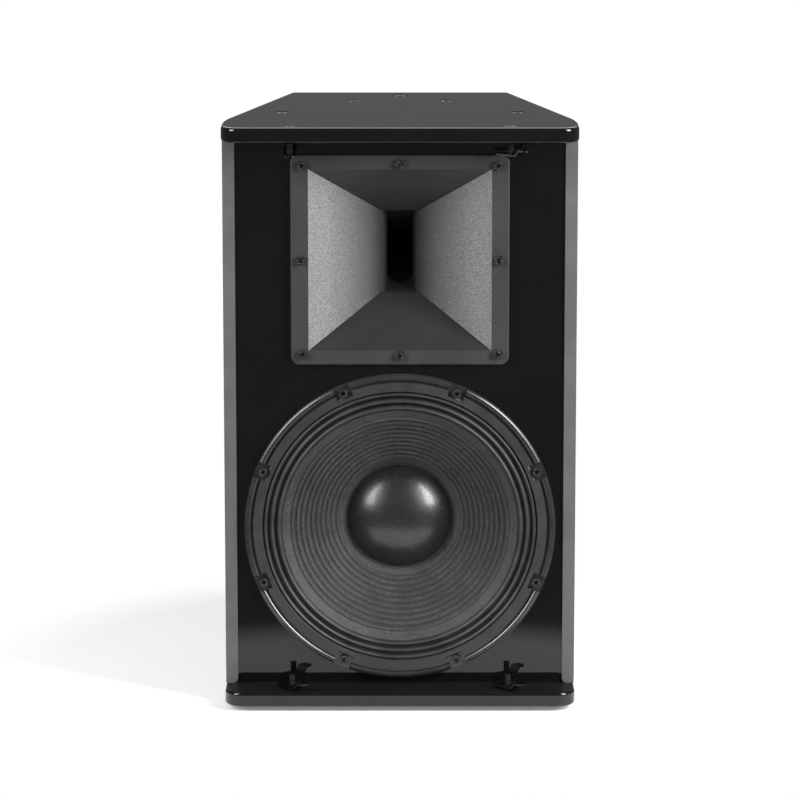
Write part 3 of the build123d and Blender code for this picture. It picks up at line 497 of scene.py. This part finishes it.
# Surround: flat foot under the trim ring, then even waves down to the cone's edge.
FOOT_Y, CLOTH_T = BAFFLE - 5.2, 0.7
WAVE_LEVEL, WAVE_RISE = BAFFLE - 4.4, 1.7


def wave(r):
    return WAVE_LEVEL - WAVE_RISE * math.cos((r - WAVE_CREST) / WAVE_PITCH * 2 * math.pi)


face = [(144.0, FOOT_Y), (139.2, FOOT_Y), (138.7, FOOT_Y + 0.5), (138.4, wave(138.4))]
face += [(r, wave(r)) for r in sweep(138.2, CONE_R, 0.4)]
surround = lathe("surround_rolls", thick(face, CLOTH_T), WOOFER_Z, "coated_cloth")
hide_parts("woofer_surround")
radial_blend(surround)

# Spider: corrugated cloth disc from the frame's ledge to the coil former.
SPIDER_Y = BAFFLE + 77.2
face = [(82.0, SPIDER_Y), (73.0, SPIDER_Y)]
face += [(r, SPIDER_Y + 1.35 * math.sin((72.5 - r) / 32.5 * 10 * math.pi)) for r in sweep(72.5, 40.0, 0.4)]
face += [(39.0, SPIDER_Y), (COIL_R, SPIDER_Y)]
spider = lathe("spider_cloth", thick(face, 0.6), WOOFER_Z, "coated_cloth", 160)
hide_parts("woofer_spider")
radial_blend(spider)

# ---------------------------------------------------------------- lining


# Depths in from a side board's outer face, across the front: its inner face, and the pads' open face.
BOARD_T, PAD_T = 12.6, 27.0


def lining_pad(name, low, high, side):
    """A sheet of fibre wadding against a tapered side board, uneven on its open face."""
    across, up = 40, 64 if high[1] - low[1] > 250 else 44
    y0, y1, z0, z1 = low[0], high[0], low[1], high[1]

    def wall(y, inset):
        return side * (HALF_WIDTH - inset - TAPER * max(0.0, y - KNEE_Y))

    co, faces = [], []
    rng = np.random.default_rng(7)
    rough = rng.normal(0, 0.9, (across + 1, up + 1))
    for i in range(across + 1):
        for k in range(up + 1):
            u, v = i / across, k / up
            y, z = y0 + (y1 - y0) * u, z0 + (z1 - z0) * v
            edge = min(u, 1 - u, v * 1.5, (1 - v) * 1.5) * 10
            swell = 0.9 * math.sin(y * 0.11) * math.sin(z * 0.07)
            puff = PAD_T - 4.5 * math.exp(-edge) + swell - 1.2 + rough[i, k] * 0.5
            co.append((wall(y, min(PAD_T, puff)) * MM, y * MM, z * MM))
    base = len(co)
    for i in range(across + 1):
        for k in range(up + 1):
            y, z = y0 + (y1 - y0) * i / across, z0 + (z1 - z0) * k / up
            co.append((wall(y, BOARD_T) * MM, y * MM, z * MM))
    row = up + 1
    for i in range(across):
        for k in range(up):
            a = i * row + k
            faces.append((a, a + 1, a + row + 1, a + row))
            faces.append((base + a, base + a + row, base + a + row + 1, base + a + 1))
    rim = [i * row for i in range(across + 1)] + [across * row + k for k in range(1, row)]
    rim += [i * row + up for i in range(across - 1, -1, -1)] + [k for k in range(up - 1, 0, -1)]
    for n, a in enumerate(rim):
        b = rim[(n + 1) % len(rim)]
        faces.append((a, b, base + b, base + a))
    mesh = bpy.data.meshes.new(name)
    mesh.from_pydata(co, [], faces)
    mesh.polygons.foreach_set("use_smooth", [True] * len(mesh.polygons))
    obj = bpy.data.objects.new(name, mesh)
    bpy.context.scene.collection.objects.link(obj)
    paint(obj, "lining")
    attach(obj, CABINET)
    return obj


pads = []
for side, word in ((-1, "left"), (1, "right")):
    pads.append(lining_pad(f"lining_lower_{word}", (-40.0, 32.0), (118.0, 331.0), side))
    pads.append(lining_pad(f"lining_upper_{word}", (-40.0, 363.0), (118.0, 568.0), side))
for pad in pads:
    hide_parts("wadding")

# ---------------------------------------------------------------- floor, lights, camera


# In metres: the floor's radius, and where it starts and ends fading out.
FLOOR_R, FADE_FROM, FADE_TO = 0.5, 0.37, 0.46
# How much of the floor's white is its own, so that it reads as white as the surroundings.
FLOOR_GLOW = 0.19
# Brightness of the surroundings as the camera sees them, and as the gloss surfaces mirror them.
WHITE_LEVEL, MIRRORED_LEVEL = 1.0, 0.165
# Height in metres that the lamps are aimed at.
MIDDLE_Z = 0.32


def floor():
    """A pale round floor that fades out into the white surroundings."""
    mesh = bpy.data.meshes.new("floor")
    turns = np.linspace(0, 2 * math.pi, 96, endpoint=False)
    ring = [(FLOOR_R * math.cos(a), FLOOR_R * math.sin(a), 0.0) for a in turns]
    mesh.from_pydata(ring, [], [tuple(range(96))])
    obj = bpy.data.objects.new("floor", mesh)
    bpy.context.scene.collection.objects.link(obj)
    g = Graph("floor", 0.75)
    g.color(g.noise(3.0), (0.88, 0.88, 0.88), (0.91, 0.91, 0.91))
    g.shader.inputs["Emission Color"].default_value = (1.0, 1.0, 1.0, 1.0)
    g.shader.inputs["Emission Strength"].default_value = FLOOR_GLOW
    g.shader.inputs["Specular IOR Level"].default_value = 0.2
    away = g.node("VectorMath", operation="LENGTH")
    g.link(g.place, away.inputs[0])
    fade = g.ranged(away.outputs["Value"], FADE_FROM, FADE_TO)
    clear = g.node("BsdfTransparent")
    mixed = g.node("MixShader")
    g.link(fade, mixed.inputs[0])
    g.link(g.shader.outputs[0], mixed.inputs[1])
    g.link(clear.outputs[0], mixed.inputs[2])
    g.link(mixed.outputs[0], g.tree.nodes["Material Output"].inputs["Surface"])
    obj.data.materials.append(g.material)


def softbox(name, azimuth, elevation, distance, width, height, watts):
    """A large rectangular lamp aimed at the middle of the cabinet. Azimuth 0 is in front, 90 to the right."""
    data = bpy.data.lights.new(name, "AREA")
    data.shape = "RECTANGLE"
    data.size, data.size_y = width, height
    data.energy = watts
    obj = bpy.data.objects.new(name, data)
    bpy.context.scene.collection.objects.link(obj)
    a, e = math.radians(azimuth), math.radians(elevation)
    way = Vector((math.sin(a) * math.cos(e), -math.cos(a) * math.cos(e), math.sin(e)))
    obj.location = Vector((0, 0, MIDDLE_Z)) + way * distance
    obj.rotation_mode = "QUATERNION"
    obj.rotation_quaternion = way.to_track_quat("Z", "Y")


def surroundings():
    """White behind the object, and dim grey walls for what the gloss surfaces mirror."""
    world = bpy.data.worlds.new("studio")
    world.use_nodes = True
    bpy.context.scene.world = world
    tree = world.node_tree
    back = tree.nodes["Background"]
    path = tree.nodes.new("ShaderNodeLightPath")
    white = tree.nodes.new("ShaderNodeBackground")
    mixed = tree.nodes.new("ShaderNodeMixShader")
    back.inputs["Color"].default_value = (1.0, 1.0, 1.0, 1.0)
    back.inputs["Strength"].default_value = MIRRORED_LEVEL
    white.inputs["Color"].default_value = (1.0, 1.0, 1.0, 1.0)
    white.inputs["Strength"].default_value = WHITE_LEVEL
    tree.links.new(path.outputs["Is Camera Ray"], mixed.inputs[0])
    tree.links.new(back.outputs[0], mixed.inputs[1])
    tree.links.new(white.outputs[0], mixed.inputs[2])
    tree.links.new(mixed.outputs[0], tree.nodes["World Output"].inputs["Surface"])


floor()
surroundings()
softbox("box_left", -56.0, 24.0, 1.7, 0.6, 1.1, 28.0)
softbox("box_right", 56.0, 24.0, 1.7, 0.55, 1.1, 49.0)
softbox("rear_fill", 180.0, 35.0, 2.2, 1.2, 1.0, 14.0)

camera = bpy.data.objects.new("camera", bpy.data.cameras.new("camera"))
bpy.context.scene.collection.objects.link(camera)
camera.data.sensor_width = 36.0
camera.data.lens = 183.08
camera.location = (0.0, -4.1195, 1.1003)
camera.rotation_euler = (math.pi / 2 - 0.1938, 0.0, 0.0)
camera.data.clip_end = 60.0
bpy.context.scene.camera = camera
bpy.context.scene.view_settings.view_transform = "Standard"
